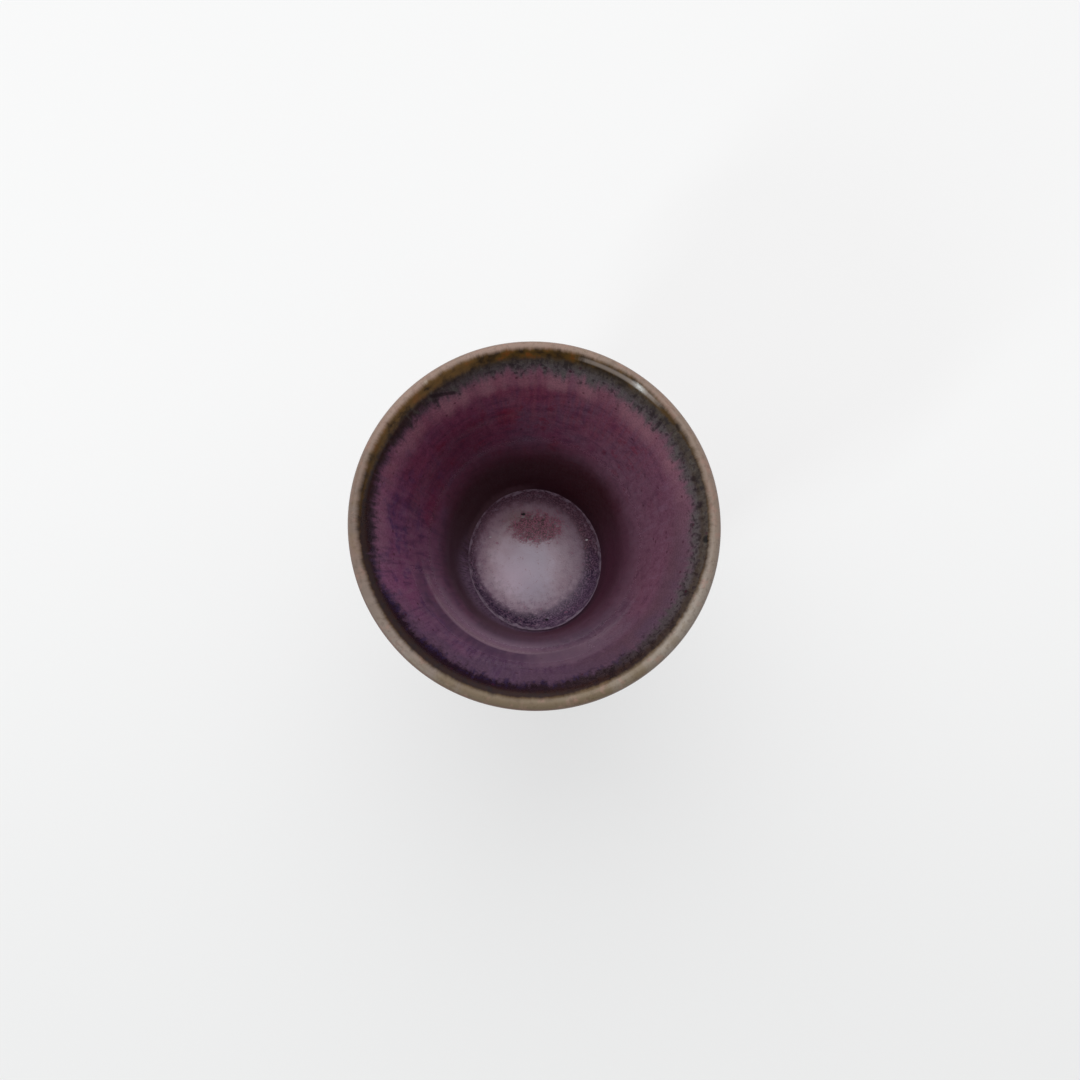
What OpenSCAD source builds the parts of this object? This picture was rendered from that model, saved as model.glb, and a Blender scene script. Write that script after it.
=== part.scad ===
// Flared stoneware sake cup: a thrown body, an applied foot ring and five coats of glaze.
// The origin is on the table under the middle of the foot, and +Z points up through the mouth.

/* [Cup] */
// Height from the table to the top of the lip
cup_h = 56; // [53:0.5:60]
// Outer diameter across the lip
mouth_d = 65; // [61:0.5:70]
// Inner diameter of the clay at the waist, where the steep lower wall starts to flare
waist_d = 40.4; // [38:0.2:43]
// Height of the waist above the table
waist_z = 34.4; // [32:0.4:37]
// Inner diameter of the clay where the wall runs out into the well
well_d = 27.2; // [25:0.2:29]
// Height above the table at which the wall runs out into the well
well_edge_z = 13.2; // [12.8:0.2:15]

/* [Wall] */
// Lean of the wall from upright just above the well, in degrees
low_lean = 12; // [9:0.5:15]
// Lean of the wall from upright at the waist, in degrees
waist_lean = 22; // [19:0.5:25]
// Lean of the wall from upright at the lip, in degrees
lip_lean = 40; // [34:1:46]
// Thickness of the clay at the lip
lip_t = 1.9; // [1.5:0.1:2.4]
// Thickness of the clay at the waist
waist_t = 2.7; // [2.2:0.1:3.4]
// Thickness of the clay at the hip, beside the well
hip_t = 3.5; // [3:0.1:4.2]
// Thickness of the clay under the middle of the well
base_t = 3.8; // [3:0.1:4.4]

/* [Throwing rings] */
// Height from one throwing ring to the next, up and down from the ring at the waist
ring_pitch = 8.4; // [5:0.2:11]
// Height of a throwing ring above the hollows beside it, inside the cup
ring_h = 0.3; // [0:0.02:0.4]
// Height of the softer rings on the outside
outer_ring_h = 0.16; // [0:0.02:0.3]

/* [Foot] */
// Outer diameter of the foot ring at the top, where it meets the hip
foot_d = 27.6; // [26:0.2:29]
// Height of the foot ring
foot_h = 6.2; // [5.6:0.1:6.8]
// Inward taper of the ring's outer face, from top to bottom
foot_taper = 0.5; // [0:0.1:0.9]
// Thickness of the ring at the top
foot_t = 4.2; // [3.6:0.1:5]
// Depth of the hollow inside the ring, from the table to its ceiling
recess_h = 5; // [4.6:0.1:5.4]
// How much wider the hollow is at the table than at its ceiling, on each side
recess_flare = 0.5; // [0:0.1:0.7]
// Width of the bevel round the foot's outer lower edge
foot_bevel = 0.7; // [0.3:0.1:1]
// Width of the bevel round the hollow's lower edge
inner_bevel = 0.3; // [0.1:0.1:0.5]
// Height of the low point that the turning tool left in the middle of the hollow
tokin_h = 0.8; // [0.2:0.1:1]
// Diameter at which that point fades into the ceiling
tokin_d = 8; // [5:0.5:11]

/* [Glaze] */
// Thickness of the coat where it breaks over the lip
lip_glaze_t = 0.22; // [0.12:0.02:0.3]
// Thickness of the dark band under the lip
band_glaze_t = 0.34; // [0.2:0.02:0.5]
// Height of the dark band, down from the inner edge of the lip
band_h = 4.2; // [2.5:0.1:6]
// Thickness of the coat on the inside wall
wall_glaze_t = 0.5; // [0.3:0.05:0.7]
// Depth of the pool of glaze in the middle of the well
pool_t = 1; // [0.6:0.1:1.4]
// Thickness of the coat on the outside wall
outer_glaze_t = 0.45; // [0.3:0.05:0.6]
// How far the rolled edge stands off the clay, where the outer coat stopped running
hem_t = 0.95; // [0.6:0.05:1.2]
// Height of that rolled edge, up the wall
hem_h = 3.2; // [2.4:0.1:4]

/* [Hidden] */
$fn = 240;

// Steps along each stretch of the outline
WELL_STEPS = 16;
LOW_STEPS = 24;
HIGH_STEPS = 26;
LIP_STEPS = 18;
HIP_STEPS = 14;
TOKIN_STEPS = 8;

// How far the handles of each curve reach, as shares of the straight distance between its ends
floor_handle_shares = [0.7, 0.25];
low_handle_shares = [0.34, 0.36];
high_handle_shares = [0.36, 0.34];
hip_handle_shares = [0.4, 0.34];
// Lean of the hip where it meets the foot, from upright, in degrees
hip_end_lean = 62;
// How far the hip overhangs the foot ring, as a share of the ring's radius
overhang_share = 0.05;
// How much closer the outline's points lie towards the rolled edge
hem_bunching = 1.8;
// How many steps the coat takes to change its thickness, where it passes to the band and to and from the lip
BLEND_STEPS = 4;

// Vector of a length that leans from upright, and one across it that points into the cup
function along(lean, length) = length * [sin(lean), cos(lean)];
function inward(lean, length) = length * [-cos(lean), sin(lean)];

// Points of a Bezier curve that leaves a and reaches b with given leans
function curve(a, lean_a, b, lean_b, handle_shares, steps, bunching = 1) =
    let (
        reach = norm(b - a),
        p = a + along(lean_a, handle_shares[0] * reach),
        q = b - along(lean_b, handle_shares[1] * reach)
    )
    [
        for (i = [0 : steps])
            let (t = pow(i / steps, bunching), s = 1 - t)
            s * s * s * a + 3 * s * s * t * p + 3 * s * t * t * q + t * t * t * b
    ];

// Part of a list of points, a list the other way round, and lists end to end without their shared points
function stretch(points, first, last) = [for (i = [first : last]) points[i]];
function reversed(points) = [for (i = [len(points) - 1 : -1 : 0]) points[i]];
function end_to_end(lists) = [
    for (k = [0 : len(lists) - 1], i = [(k == 0 ? 0 : 1) : len(lists[k]) - 1]) lists[k][i]
];

// A line of points moved to its left, each by its own distance
function moved_left(points, distances) = [
    for (i = [0 : len(points) - 1])
        let (
            ahead = points[min(i + 1, len(points) - 1)],
            behind = points[max(i - 1, 0)],
            run = (ahead - behind) / norm(ahead - behind)
        )
        points[i] + distances[i] * [-run[1], run[0]]
];

// A smooth step from 0 to 1
function eased(t) = let (u = min(max(t, 0), 1)) u * u * (3 - 2 * u);

// A wall with its throwing rings, narrow on the crest and wide in the hollow, which fade out at both ends
function ringed(points, height) =
    let (low = min([for (p = points) p[1]]), high = max([for (p = points) p[1]]))
    moved_left(points, [
        for (p = points)
            let (crest = pow((1 + cos(360 * (p[1] - waist_z) / ring_pitch)) / 2, 2))
            height * crest * eased((p[1] - low) / ring_pitch) * eased((high - p[1]) / ring_pitch)
    ]);

// The point of a wall that is nearest to a height, and the wall with that point moved along it to the height
function point_near(points, height) =
    len([for (i = [1 : len(points) - 1]) if (points[i - 1][1] + points[i][1] < 2 * height) i]);
function pinned(points, height) =
    let (
        k = point_near(points, height),
        beside = points[k][1] < height ? k + 1 : k - 1,
        reach_share = (height - points[k][1]) / (points[beside][1] - points[k][1])
    )
    [
        for (i = [0 : len(points) - 1])
            i == k ? points[k] + reach_share * (points[beside] - points[k]) : points[i]
    ];

// The lip is a half round of clay, placed so that the glazed cup has its full height and width
lip_r = lip_t / 2;
lip_middle = [mouth_d / 2 - lip_glaze_t - lip_r, cup_h - lip_glaze_t - lip_r];
lip_inside = lip_middle + inward(lip_lean, lip_r);
lip_outside = lip_middle - inward(lip_lean, lip_r);
lip_arc = [
    for (i = [0 : LIP_STEPS]) lip_middle + inward(lip_lean + 180 * i / LIP_STEPS, lip_r)
];

// The inside wall, from the edge of the well up to the lip, with a point where the dark band starts
waist_inside = [waist_d / 2, waist_z];
well_edge = [well_d / 2, well_edge_z];
band_low_z = lip_inside[1] - band_h;
inside_wall = pinned(
    ringed(
        end_to_end([
            curve(well_edge, low_lean, waist_inside, waist_lean, low_handle_shares, LOW_STEPS),
            curve(waist_inside, waist_lean, lip_inside, lip_lean, high_handle_shares, HIGH_STEPS)
        ]),
        ring_h
    ),
    band_low_z
);

// The outside wall, from the lip down to the hip
waist_outside = waist_inside - inward(waist_lean, waist_t);
hip = well_edge - inward(low_lean, hip_t);
outside_wall = ringed(
    reversed(end_to_end([
        curve(hip, low_lean, waist_outside, waist_lean, low_handle_shares, LOW_STEPS, hem_bunching),
        curve(waist_outside, waist_lean, lip_outside, lip_lean, high_handle_shares, HIGH_STEPS)
    ])),
    outer_ring_h
);

// All the clay that the wall coats cover, and where along it each coat starts
covered_clay = end_to_end([inside_wall, lip_arc, outside_wall]);
LIP_FIRST = LOW_STEPS + HIGH_STEPS;
LIP_LAST = LIP_FIRST + LIP_STEPS;
HEM = LIP_LAST + LOW_STEPS + HIGH_STEPS;
BAND_FIRST = point_near(inside_wall, band_low_z);

// Thickness of the coats at each of those points: the rolled edge has a round front, then eases up the wall
function hem_coat(up) =
    up < hem_t ? sqrt(max(0, hem_t * hem_t - pow(hem_t - up, 2)))
    : outer_glaze_t + (hem_t - outer_glaze_t) * (1 - eased((up - hem_t) / (hem_h - hem_t)));
function coat(i) =
    i > LIP_LAST + BLEND_STEPS ? hem_coat(norm(covered_clay[i] - covered_clay[HEM]))
    : lookup(i, [
        [BAND_FIRST - BLEND_STEPS, wall_glaze_t],
        [BAND_FIRST, band_glaze_t],
        [LIP_FIRST - BLEND_STEPS, band_glaze_t],
        [LIP_FIRST, lip_glaze_t],
        [LIP_LAST, lip_glaze_t],
        [LIP_LAST + BLEND_STEPS, outer_glaze_t]
    ]);
coat_surface = moved_left(covered_clay, [for (i = [0 : HEM]) coat(i)]);

// The well: its clay floor, and the pool of glaze that levels it
well_middle = [0, recess_h + base_t];
clay_floor = curve(well_middle, 90, well_edge, low_lean, floor_handle_shares, WELL_STEPS);
pool_floor = curve(
    well_middle + [0, pool_t], 90, coat_surface[0], low_lean, floor_handle_shares, WELL_STEPS
);

// The turned hip below the glaze, and the foot
foot_r = foot_d / 2;
recess_r = foot_r - foot_t;
tokin_r = tokin_d / 2;
hip_curve = reversed(curve(
    [foot_r * (1 + overhang_share), foot_h], hip_end_lean, hip, low_lean, hip_handle_shares, HIP_STEPS
));
tokin_curve = [
    for (i = [TOKIN_STEPS : -1 : 0])
        let (out_share = i / TOKIN_STEPS)
        [tokin_r * out_share, recess_h - tokin_h * (1 + cos(180 * out_share)) / 2]
];

// One coat of glaze, between two places along the covered clay
module coat_ring(first, last) {
    rotate_extrude()
        polygon(concat(
            stretch(coat_surface, first, last),
            reversed(stretch(covered_clay, first, last))
        ));
}

// Thrown wall and floor, with the boss under the floor that seats in the foot ring
module clay_body() {
    color("#8a7464")
        rotate_extrude()
            polygon(concat(
                end_to_end([clay_floor, covered_clay, hip_curve]),
                [[recess_r, foot_h], [recess_r, recess_h]],
                tokin_curve
            ));
}

// Applied foot ring, turned with a bevel so that it stands on a narrow face
module foot_ring() {
    color("#7d6857")
        rotate_extrude()
            polygon([
                [recess_r, foot_h],
                [foot_r, foot_h],
                [foot_r - foot_taper, foot_bevel],
                [foot_r - foot_taper - foot_bevel, 0],
                [recess_r + recess_flare + inner_bevel, 0],
                [recess_r + recess_flare, inner_bevel],
                [recess_r, recess_h]
            ]);
}

// Pool of glass in the well, which rises to meet the wall coat
module well_glaze() {
    color("#8d7f8e")
        rotate_extrude()
            polygon(concat(pool_floor, reversed(clay_floor)));
}

// Purple coat on the inside wall
module wall_glaze() {
    color("#573648")
        coat_ring(0, BAND_FIRST);
}

// Dark band under the lip
module rim_band_glaze() {
    color("#352c2b")
        coat_ring(BAND_FIRST, LIP_FIRST);
}

// Thin tan coat over the lip
module lip_glaze() {
    color("#988576")
        coat_ring(LIP_FIRST, LIP_LAST);
}

// Coat on the outside, down to its rolled edge at the hip
module outer_glaze() {
    color("#4b3442")
        coat_ring(LIP_LAST, HEM);
}

clay_body();
foot_ring();
well_glaze();
wall_glaze();
rim_band_glaze();
lip_glaze();
outer_glaze();
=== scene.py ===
import math

import bmesh
import bpy
from mathutils import Color, Matrix, Vector, noise
from mathutils.geometry import interpolate_bezier


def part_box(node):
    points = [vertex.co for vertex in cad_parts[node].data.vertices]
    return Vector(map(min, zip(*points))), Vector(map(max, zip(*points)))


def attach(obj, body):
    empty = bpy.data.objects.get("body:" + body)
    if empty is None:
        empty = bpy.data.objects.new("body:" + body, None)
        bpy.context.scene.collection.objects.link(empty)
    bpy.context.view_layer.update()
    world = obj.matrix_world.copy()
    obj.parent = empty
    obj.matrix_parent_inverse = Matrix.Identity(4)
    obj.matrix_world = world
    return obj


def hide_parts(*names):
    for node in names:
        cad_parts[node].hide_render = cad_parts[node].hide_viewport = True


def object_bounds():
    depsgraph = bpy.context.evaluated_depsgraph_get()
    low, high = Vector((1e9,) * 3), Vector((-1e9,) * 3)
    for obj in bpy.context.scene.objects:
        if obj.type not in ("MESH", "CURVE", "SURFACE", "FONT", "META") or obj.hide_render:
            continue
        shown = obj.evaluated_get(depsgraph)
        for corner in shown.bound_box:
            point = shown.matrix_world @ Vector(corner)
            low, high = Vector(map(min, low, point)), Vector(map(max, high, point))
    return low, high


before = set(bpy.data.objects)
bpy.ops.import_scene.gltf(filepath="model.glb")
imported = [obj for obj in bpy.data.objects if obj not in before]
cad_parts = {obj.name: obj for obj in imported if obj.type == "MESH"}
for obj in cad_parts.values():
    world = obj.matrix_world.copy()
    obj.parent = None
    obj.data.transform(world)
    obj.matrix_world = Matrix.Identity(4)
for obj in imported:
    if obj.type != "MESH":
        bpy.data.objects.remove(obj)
cad_low, cad_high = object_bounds()


# Thrown body
# One wall and floor of iron-bearing stoneware, pulled up on the wheel, opened at the lip and left with its
# rings. The glazes cover all of it but the turned hip and the hollow under the foot, which the kiln has
# toasted brown.

mm = 0.001
cup_height = (cad_high[2] - cad_low[2]) / mm
mouth_width = (cad_high[0] - cad_low[0]) / mm
foot_low, foot_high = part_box("foot_ring")
foot_height = foot_high[2] / mm
foot_width = (foot_high[0] - foot_low[0]) / mm
lip_thickness = 1.9
lip_glaze_thickness = 0.22
waist_width = 40.4
waist_height = 34.4
waist_thickness = 2.7
well_width = 27.2
well_edge_height = 13.2
hip_thickness = 3.5
well_floor_height = 8.8
foot_thickness = 4.2
recess_depth = 5
tokin_height = 0.8
tokin_width = 8
low_lean = 12
waist_lean = 22
lip_lean = 40
hip_end_lean = 62
hip_overhang_share = 0.05
ring_pitch = 8.4
inside_ring_height = 0.3
outside_ring_height = 0.16
low_handle_shares = (0.34, 0.36)
high_handle_shares = (0.36, 0.34)
floor_handle_shares = (0.7, 0.25)
hip_handle_shares = (0.4, 0.34)
hip_line_depth = 0.05
hip_line_pitch = 0.5
ceiling_line_depth = 0.04
ceiling_line_pitch = 0.9
hidden_wall_every = 4
hidden_floor_every = 3
merge_reach = 0.001
turns = 288
eighths = 8


def along(lean, length):
    """A length in the plane of the outline, leaning outwards from upright by so many degrees."""
    return Vector((math.sin(math.radians(lean)), 0, math.cos(math.radians(lean)))) * length


def inward(lean, length):
    """A length across a wall of that lean, into the cup."""
    return Vector((-math.cos(math.radians(lean)), 0, math.sin(math.radians(lean)))) * length


def pulled_curve(low, low_leaning, high, high_leaning, low_share, high_share, steps):
    """A stretch of wall that leaves one point and reaches the next with given leans."""
    reach = (high - low).length
    first_handle = low + along(low_leaning, low_share * reach)
    last_handle = high - along(high_leaning, high_share * reach)
    return interpolate_bezier(low, first_handle, last_handle, high, steps + 1)


def eased(share):
    """A smooth step from 0 to 1."""
    share = min(max(share, 0), 1)
    return share * share * (3 - 2 * share)


def moved_across(outline, distances):
    """The outline moved to its left, out of the clay, each point by its own distance."""
    moved = []
    for i, point in enumerate(outline):
        run = outline[min(i + 1, len(outline) - 1)] - outline[max(i - 1, 0)]
        run.normalize()
        moved.append(point + Vector((-run.z, 0, run.x)) * distances[i])
    return moved


def throwing_rings(outline, ring_height):
    """How far each point stands out on the throwing rings, narrow on the crest and wide in the hollow."""
    low = min(point.z for point in outline)
    high = max(point.z for point in outline)
    heights = []
    for point in outline:
        crest = ((1 + math.cos(2 * math.pi * (point.z - waist_height) / ring_pitch)) / 2) ** 2
        ends = eased((point.z - low) / ring_pitch) * eased((high - point.z) / ring_pitch)
        heights.append(ring_height * crest * ends)
    return heights


def turning_lines(outline, depth, pitch):
    """The fine uneven lines that a turning tool cuts, none at the two ends of the stretch."""
    lengths = [0]
    for first, second in zip(outline, outline[1:]):
        lengths.append(lengths[-1] + (second - first).length)
    cuts = []
    for length in lengths:
        ends = eased(length / pitch) * eased((lengths[-1] - length) / pitch)
        cuts.append(-depth * ends * (1 + noise.noise(Vector((length / pitch, outline[0].z, 0)))) / 2)
    return moved_across(outline, cuts)


def thinned(outline, every):
    """The same outline with fewer points, for a face that nothing shows."""
    return [point for i, point in enumerate(outline) if i % every == 0 or i == len(outline) - 1]


lip_radius = lip_thickness / 2
lip_middle = Vector((
    mouth_width / 2 - lip_glaze_thickness - lip_radius, 0, cup_height - lip_glaze_thickness - lip_radius
))
lip_inside = lip_middle + inward(lip_lean, lip_radius)
lip_outside = lip_middle - inward(lip_lean, lip_radius)
waist_inside = Vector((waist_width / 2, 0, waist_height))
waist_outside = waist_inside - inward(waist_lean, waist_thickness)
well_edge = Vector((well_width / 2, 0, well_edge_height))
hip = well_edge - inward(low_lean, hip_thickness)
foot_radius = foot_width / 2
recess_radius = foot_radius - foot_thickness

inside_curve = (
    pulled_curve(well_edge, low_lean, waist_inside, waist_lean, *low_handle_shares, 80)
    + pulled_curve(waist_inside, waist_lean, lip_inside, lip_lean, *high_handle_shares, 100)[1:]
)
inside_rings = throwing_rings(inside_curve, inside_ring_height)
inside_wall = moved_across(inside_curve, inside_rings)
lip_steps = 24
lip_round = [
    lip_middle + inward(lip_lean + 180 * i / lip_steps, lip_radius) for i in range(1, lip_steps)
]
outside_curve = (
    pulled_curve(hip, low_lean, waist_outside, waist_lean, *low_handle_shares, 90)
    + pulled_curve(waist_outside, waist_lean, lip_outside, lip_lean, *high_handle_shares, 90)[1:]
)[::-1]
outside_wall = moved_across(outside_curve, throwing_rings(outside_curve, outside_ring_height))
floor_middle = Vector((0, 0, well_floor_height))
well_floor = pulled_curve(floor_middle, 90, well_edge, low_lean, *floor_handle_shares, 24)
hip_end = Vector((foot_radius * (1 + hip_overhang_share), 0, foot_height))
hip_curve = pulled_curve(hip_end, hip_end_lean, hip, low_lean, *hip_handle_shares, 70)[::-1]
hip_curve = turning_lines(hip_curve, hip_line_depth, hip_line_pitch)
ceiling_steps = 26
ceiling = []
for step in range(ceiling_steps, -1, -1):
    radius = recess_radius * step / ceiling_steps
    tokin = tokin_height * (1 + math.cos(math.pi * min(1, radius / (tokin_width / 2)))) / 2
    ceiling.append(Vector((radius, 0, recess_depth - tokin)))
ceiling = turning_lines(ceiling, ceiling_line_depth, ceiling_line_pitch)

# Where the potter's hands moved the turned shape: the mouth is a little out of round, dips, and was pressed
# flat in one spot, the well is oval, and one side has a groove at the waist.
mouth_oval_share = 0.0047
mouth_oval_degrees = 126
mouth_oval_start = 20
well_oval_share = 0.038
well_oval_degrees = 100
well_oval_radius = 16.3
well_oval_radius_fade = 2.5
well_oval_bottom = 7
well_oval_bottom_fade = 2
well_oval_top = 24
well_oval_top_fade = 9
lip_dip = 0.16
lip_dip_start = 42
two_dips_share = 0.6
two_dips_turn = 0.7
three_dips_share = 0.4
three_dips_turn = 2
waist_groove_depth = 0.055
waist_groove_level = 36.9
waist_groove_reach = 1.5
waist_groove_radius = 22.4
waist_groove_degrees = 238
waist_groove_side = 0.6
waist_groove_side_fade = 0.35
press_degrees = 53
press_depth = 0.13
press_reach = 0.55
press_length = 3.2
press_lean = 57
wave_height = 0.08
wave_tallness = 7
waves_round = 1.1
ripple_height = 0.04
ripple_tallness = 2.2
ripples_round = 2.3
spiral_height = 0.03
still_above_foot = 4
still_radius = 8


def by_hand(place):
    """Where a point of the turned cup really lies, in millimetres."""
    angle = math.atan2(place.y, place.x)
    radius = math.hypot(place.x, place.y)
    height = place.z
    rise = eased((height - mouth_oval_start) / (cup_height - mouth_oval_start))
    mouth = mouth_oval_share * math.cos(2 * (angle - math.radians(mouth_oval_degrees))) * rise
    inner_side = eased((well_oval_radius - radius) / well_oval_radius_fade)
    inner_side *= eased((height - well_oval_bottom) / well_oval_bottom_fade)
    inner_side *= eased((well_oval_top - height) / well_oval_top_fade)
    well = well_oval_share * math.cos(2 * (angle - math.radians(well_oval_degrees))) * inner_side
    spiral = height / wave_tallness + angle / (2 * math.pi)
    wave = Vector((math.cos(angle) * waves_round, math.sin(angle) * waves_round, height / wave_tallness))
    ripple = Vector((math.cos(angle) * ripples_round, math.sin(angle) * ripples_round, 0))
    ripple.z = height / ripple_tallness
    free = eased((height - foot_height) / still_above_foot) * min(1, radius / still_radius)
    out = wave_height * noise.noise(wave) + ripple_height * noise.noise(ripple)
    out += spiral_height * math.cos(2 * math.pi * spiral)
    groove_side = math.cos(angle - math.radians(waist_groove_degrees))
    groove_side = eased((groove_side - waist_groove_side) / waist_groove_side_fade)
    groove = math.exp(-(((height - waist_groove_level) / waist_groove_reach) ** 2))
    out += waist_groove_depth * groove_side * groove * eased(waist_groove_radius - radius)
    press_place = lip_middle + inward(press_lean, lip_radius + lip_glaze_thickness)
    press_off = math.hypot(radius - press_place.x, height - press_place.z) / press_reach
    press_along = math.remainder(angle - math.radians(press_degrees), 2 * math.pi) * radius / press_length
    press = press_depth * math.exp(-press_off ** 2 - press_along ** 2)
    out += press * math.cos(math.radians(press_lean))
    stretch = 1 + mouth + well + out * free / max(radius, 1)
    two_dips = two_dips_share * math.cos(2 * angle + two_dips_turn)
    three_dips = three_dips_share * math.cos(3 * angle + three_dips_turn)
    dip = lip_dip * (1 - two_dips - three_dips) / 2
    dip *= eased((height - lip_dip_start) / (cup_height - lip_dip_start))
    fall = dip + press * math.sin(math.radians(press_lean))
    return Vector((place.x * stretch, place.y * stretch, height - fall))


def turned(outline, closed=False):
    """Spins an outline into a skin round the axis: an eighth by steps, which is then doubled three times."""
    skin = bmesh.new()
    corners = [skin.verts.new(point * mm) for point in outline]
    edges = [skin.edges.new(pair) for pair in zip(corners, corners[1:])]
    if closed:
        edges.append(skin.edges.new((corners[-1], corners[0])))
    eighth = 2 * math.pi / eighths
    bmesh.ops.spin(
        skin, geom=corners + edges, cent=(0, 0, 0), axis=(0, 0, 1), angle=eighth, steps=turns // eighths,
        use_merge=False, use_duplicate=False,
    )
    for done in (1, 2, 4):
        copied = bmesh.ops.duplicate(skin, geom=skin.verts[:] + skin.edges[:] + skin.faces[:])
        placed = [part for part in copied["geom"] if isinstance(part, bmesh.types.BMVert)]
        bmesh.ops.rotate(skin, verts=placed, cent=(0, 0, 0), matrix=Matrix.Rotation(done * eighth, 3, "Z"))
    bmesh.ops.remove_doubles(skin, verts=skin.verts, dist=merge_reach * mm)
    bmesh.ops.recalc_face_normals(skin, faces=skin.faces)
    return skin


def finished(skin, name, shaped=by_hand, sharp_angle=50):
    """Moves each point of the skin to where the hand left it, and makes the skin a piece of the cup."""
    for corner in skin.verts:
        corner.co = shaped(corner.co / mm) * mm
    mesh = bpy.data.meshes.new(name)
    skin.to_mesh(mesh)
    skin.free()
    mesh.shade_smooth()
    mesh.set_sharp_from_angle(angle=math.radians(sharp_angle))
    piece = bpy.data.objects.new(name, mesh)
    bpy.context.scene.collection.objects.link(piece)
    return piece


def colour(red, green, blue):
    """A colour as it shows on a screen, from 0 to 255, in the shader's own numbers."""
    return (*Color((red / 255, green / 255, blue / 255)).from_srgb_to_scene_linear(), 1)


def added(tree, kind, inputs, **settings):
    """Adds a node to a finish, sets it, and links or fills its inputs."""
    node = tree.nodes.new("ShaderNode" + kind)
    for setting, value in settings.items():
        setattr(node, setting, value)
    for socket, value in inputs.items():
        if isinstance(value, bpy.types.NodeSocket):
            tree.links.new(value, node.inputs[socket])
        else:
            node.inputs[socket].default_value = value
    return node


def worked(tree, operation, *values):
    """The result of one sum."""
    return added(tree, "Math", dict(enumerate(values)), operation=operation).outputs[0]


def vector_worked(tree, operation, *values):
    """The results of one sum with directions: [0] is a direction, and ["Value"] a number."""
    return added(tree, "VectorMath", dict(enumerate(values)), operation=operation).outputs


def both(tree, first, *others):
    """One share times another, or times several."""
    for other in others:
        first = worked(tree, "MULTIPLY", first, other)
    return first


def less(tree, first, second):
    """The first value less the second."""
    return worked(tree, "SUBTRACT", first, second)


def shifted(tree, value, *moves):
    """The value moved by each amount, times the share that comes with it."""
    for share, amount in moves:
        value = worked(tree, "MULTIPLY_ADD", share, amount, value)
    return value


def swayed(tree, value, *sways):
    """The value moved up and down by patches that lie round a half, each by the reach given with it."""
    for patches, reach in sways:
        value = worked(tree, "ADD", value, shifted(tree, -reach, (patches, 2 * reach)))
    return value


def ramped(tree, value, start, end, *sways):
    """0 at the start, 1 at the end, and smooth between. The value is swayed first, if asked."""
    inputs = {"Value": swayed(tree, value, *sways), "From Min": start, "From Max": end}
    return added(tree, "MapRange", inputs, interpolation_type="SMOOTHSTEP").outputs["Result"]


def blended(tree, share, *ends):
    """From the first colour to the second. Each is a socket, or red, green and blue from 0 to 255."""
    first, second = (colour(*end) if isinstance(end, tuple) else end for end in ends)
    return added(tree, "Mix", {0: share, 6: first, 7: second}, data_type="RGBA").outputs[2]


def laid_over(tree, base, *layers):
    """The base with colours over it: each where its share is high, at no more than its strength."""
    for share, strength, tint in layers:
        base = blended(tree, both(tree, share, strength), base, tint)
    return base


def grain(tree, where, size, detail=2, roughness=0.5):
    """Soft uneven patches of about that size."""
    inputs = {"Vector": where, "Scale": 1 / size, "Detail": detail, "Roughness": roughness}
    return added(tree, "TexNoise", inputs).outputs["Fac"]


def cup_place(tree):
    """Where a point is on the cup, in millimetres."""
    seen = added(tree, "TexCoord", {}).outputs["Object"]
    return added(tree, "VectorMath", {0: seen, "Scale": 1 / mm}, operation="SCALE").outputs[0]


def height_of(tree, place):
    """How high a point lies above the table."""
    return added(tree, "SeparateXYZ", {0: place}).outputs["Z"]


def seen_from_above(tree, place):
    """The place with its height taken out."""
    return vector_worked(tree, "MULTIPLY", place, (1, 1, 0))[0]


def finish_of(name, paint, gloss=0.5):
    """A finish from a function that gives its colour, its roughness and the height of its bumps."""
    finish = bpy.data.materials.new(name)
    finish.use_nodes = True
    tree = finish.node_tree
    shader = tree.nodes["Principled BSDF"]
    base, roughness, bumps, bump_height = paint(tree)
    shader.inputs["Specular IOR Level"].default_value = gloss
    tree.links.new(base, shader.inputs["Base Color"])
    tree.links.new(roughness, shader.inputs["Roughness"])
    bump = added(tree, "Bump", {"Height": bumps, "Distance": bump_height * mm})
    tree.links.new(bump.outputs["Normal"], shader.inputs["Normal"])
    return finish


def bare_clay(tree):
    """Toasted stoneware: sandy, redder beside the glaze, with iron specks and the turning tool's lines."""
    place = cup_place(tree)
    height = height_of(tree, place)
    flat = seen_from_above(tree, place)
    radius = vector_worked(tree, "LENGTH", flat)["Value"]
    cloud = grain(tree, place, 7, 4, 0.6)
    sand = grain(tree, place, 0.35, 3, 0.6)
    coarse = added(tree, "TexVoronoi", {"Vector": place, "Scale": 1 / 1.3}).outputs["Distance"]
    specks = ramped(tree, coarse, 0.2, 0.1)
    lines = added(tree, "CombineXYZ", {"X": radius, "Z": both(tree, height, 3)}).outputs[0]
    cuts = grain(tree, lines, 1.1, 3, 0.6)
    base = blended(tree, ramped(tree, cloud, 0.38, 0.62), (128, 96, 72), (150, 117, 90))
    base = laid_over(
        tree, base,
        (ramped(tree, height, 7, 12.5, (cloud, 4)), 1, (120, 70, 44)),
        (ramped(tree, sand, 0.52, 0.68), 0.35, (176, 146, 118)),
        (ramped(tree, cuts, 0.5, 0.3), 0.3, (92, 62, 44)),
        (specks, 0.75, (52, 34, 28)),
    )
    roughness = shifted(tree, 0.6, (sand, 0.3))
    bumps = worked(tree, "ADD", both(tree, sand, 0.6), both(tree, cuts, 0.5))
    return base, roughness, bumps, 0.12


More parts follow.
